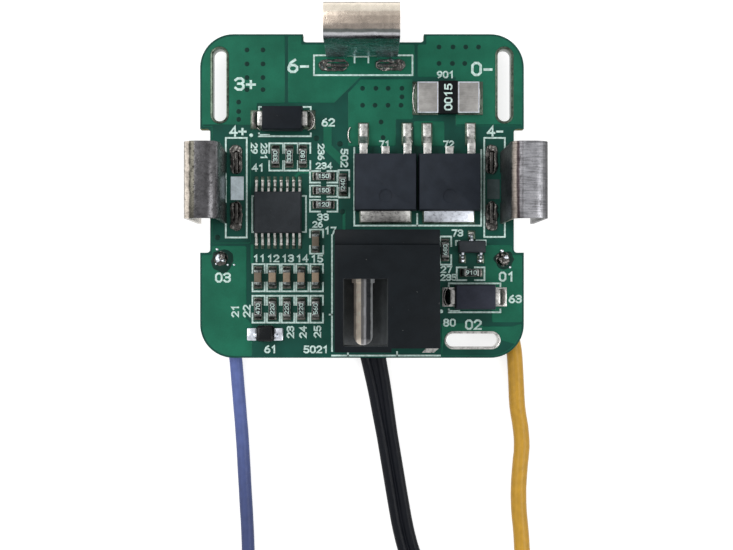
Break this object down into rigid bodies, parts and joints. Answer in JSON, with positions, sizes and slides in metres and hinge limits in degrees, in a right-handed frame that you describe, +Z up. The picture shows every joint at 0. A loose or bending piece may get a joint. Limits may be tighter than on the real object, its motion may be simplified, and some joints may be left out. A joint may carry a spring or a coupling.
{
  "type": "battery management board",
  "caption": "Square cell protection board with folded spring contacts, a charging jack, power transistors, a shunt, plated strap slots and attached leads.",
  "frame": {"origin": "middle of the footprint of the board with its contacts, without the leads, at the plane that its solder tails stand on", "axes": "+Z up from the board's face, +Y towards the rear contact, -Y towards the jack's mouth and the leads, +X towards the right-hand contact"},
  "size_m": [0.0645, 0.0844, 0.0156],
  "materials": {
    "solder_mask": "satin green solder mask over glass-epoxy laminate",
    "tinning": "bright tin plating",
    "solder": "bright solder with flux-dulled patches",
    "contact_metal_dark": "nickel-plated spring sheet, scuffed and dull",
    "contact_metal_bright": "nickel-plated spring sheet with fine cross ripples",
    "contact_metal_warm": "nickel-plated spring sheet with a warm cast",
    "jack_plastic": "fine matte black moulding",
    "plated_pin": "polished nickel plating",
    "spring_bronze": "dull spring bronze",
    "lead_metal": "tin-plated lead frame",
    "shunt_metal": "matte tin-plated copper",
    "coating_black": "black resin coating",
    "moulding_compound": "fine matte epoxy moulding compound",
    "resistor_ceramic": "black glazed top on white ceramic with tinned ends",
    "capacitor_ceramic": "brown ceramic with tinned ends",
    "blue_jacket": "satin blue lead insulation",
    "yellow_jacket": "satin yellow lead insulation",
    "black_jacket": "glossy black twin-lead insulation",
    "bead_resin": "dipped black epoxy"
  },
  "bodies": {
    "root": {"circuit_board": "solder_mask", "strap_slot_plating": "tinning", "board_solder": "solder", "left_contact": "contact_metal_dark", "right_contact": "contact_metal_bright", "rear_contact": "contact_metal_warm", "contact_solder": "solder", "jack_housing": "jack_plastic", "jack_rear_cover": "jack_plastic", "jack_pin": "plated_pin", "jack_spring": "spring_bronze", "jack_switch_contact": "lead_metal", "jack_solder": "solder", "power_moulding_1": "moulding_compound", "power_moulding_2": "moulding_compound", "power_frame_1": "lead_metal", "power_frame_2": "lead_metal", "shunt_strip": "shunt_metal", "shunt_coating": "coating_black", "rear_diode_moulding": "moulding_compound", "rear_diode_leads": "lead_metal", "front_diode_moulding": "moulding_compound", "front_diode_leads": "lead_metal", "small_diode_moulding": "moulding_compound", "small_diode_leads": "lead_metal", "control_chip_moulding": "moulding_compound", "control_chip_leads": "lead_metal", "signal_moulding": "moulding_compound", "signal_leads": "lead_metal", "resistor_1": "resistor_ceramic", "resistor_2": "resistor_ceramic", "resistor_3": "resistor_ceramic", "resistor_4": "resistor_ceramic", "resistor_5": "resistor_ceramic", "resistor_6": "resistor_ceramic", "resistor_7": "resistor_ceramic", "resistor_8": "resistor_ceramic", "resistor_9": "resistor_ceramic", "resistor_10": "resistor_ceramic", "resistor_11": "resistor_ceramic", "resistor_12": "resistor_ceramic", "resistor_13": "resistor_ceramic", "resistor_14": "resistor_ceramic", "capacitor_1": "capacitor_ceramic", "capacitor_2": "capacitor_ceramic", "capacitor_3": "capacitor_ceramic", "capacitor_4": "capacitor_ceramic", "capacitor_5": "capacitor_ceramic", "capacitor_6": "capacitor_ceramic", "lead_joints": "solder", "blue_lead": "blue_jacket", "blue_coil": "blue_jacket", "blue_end": "tinning", "yellow_lead": "yellow_jacket", "yellow_coil": "yellow_jacket", "yellow_end": "tinning", "twin_lead": "black_jacket", "twin_coil": "black_jacket", "thermistor_bead": "bead_resin"}
  },
  "joints": []
}
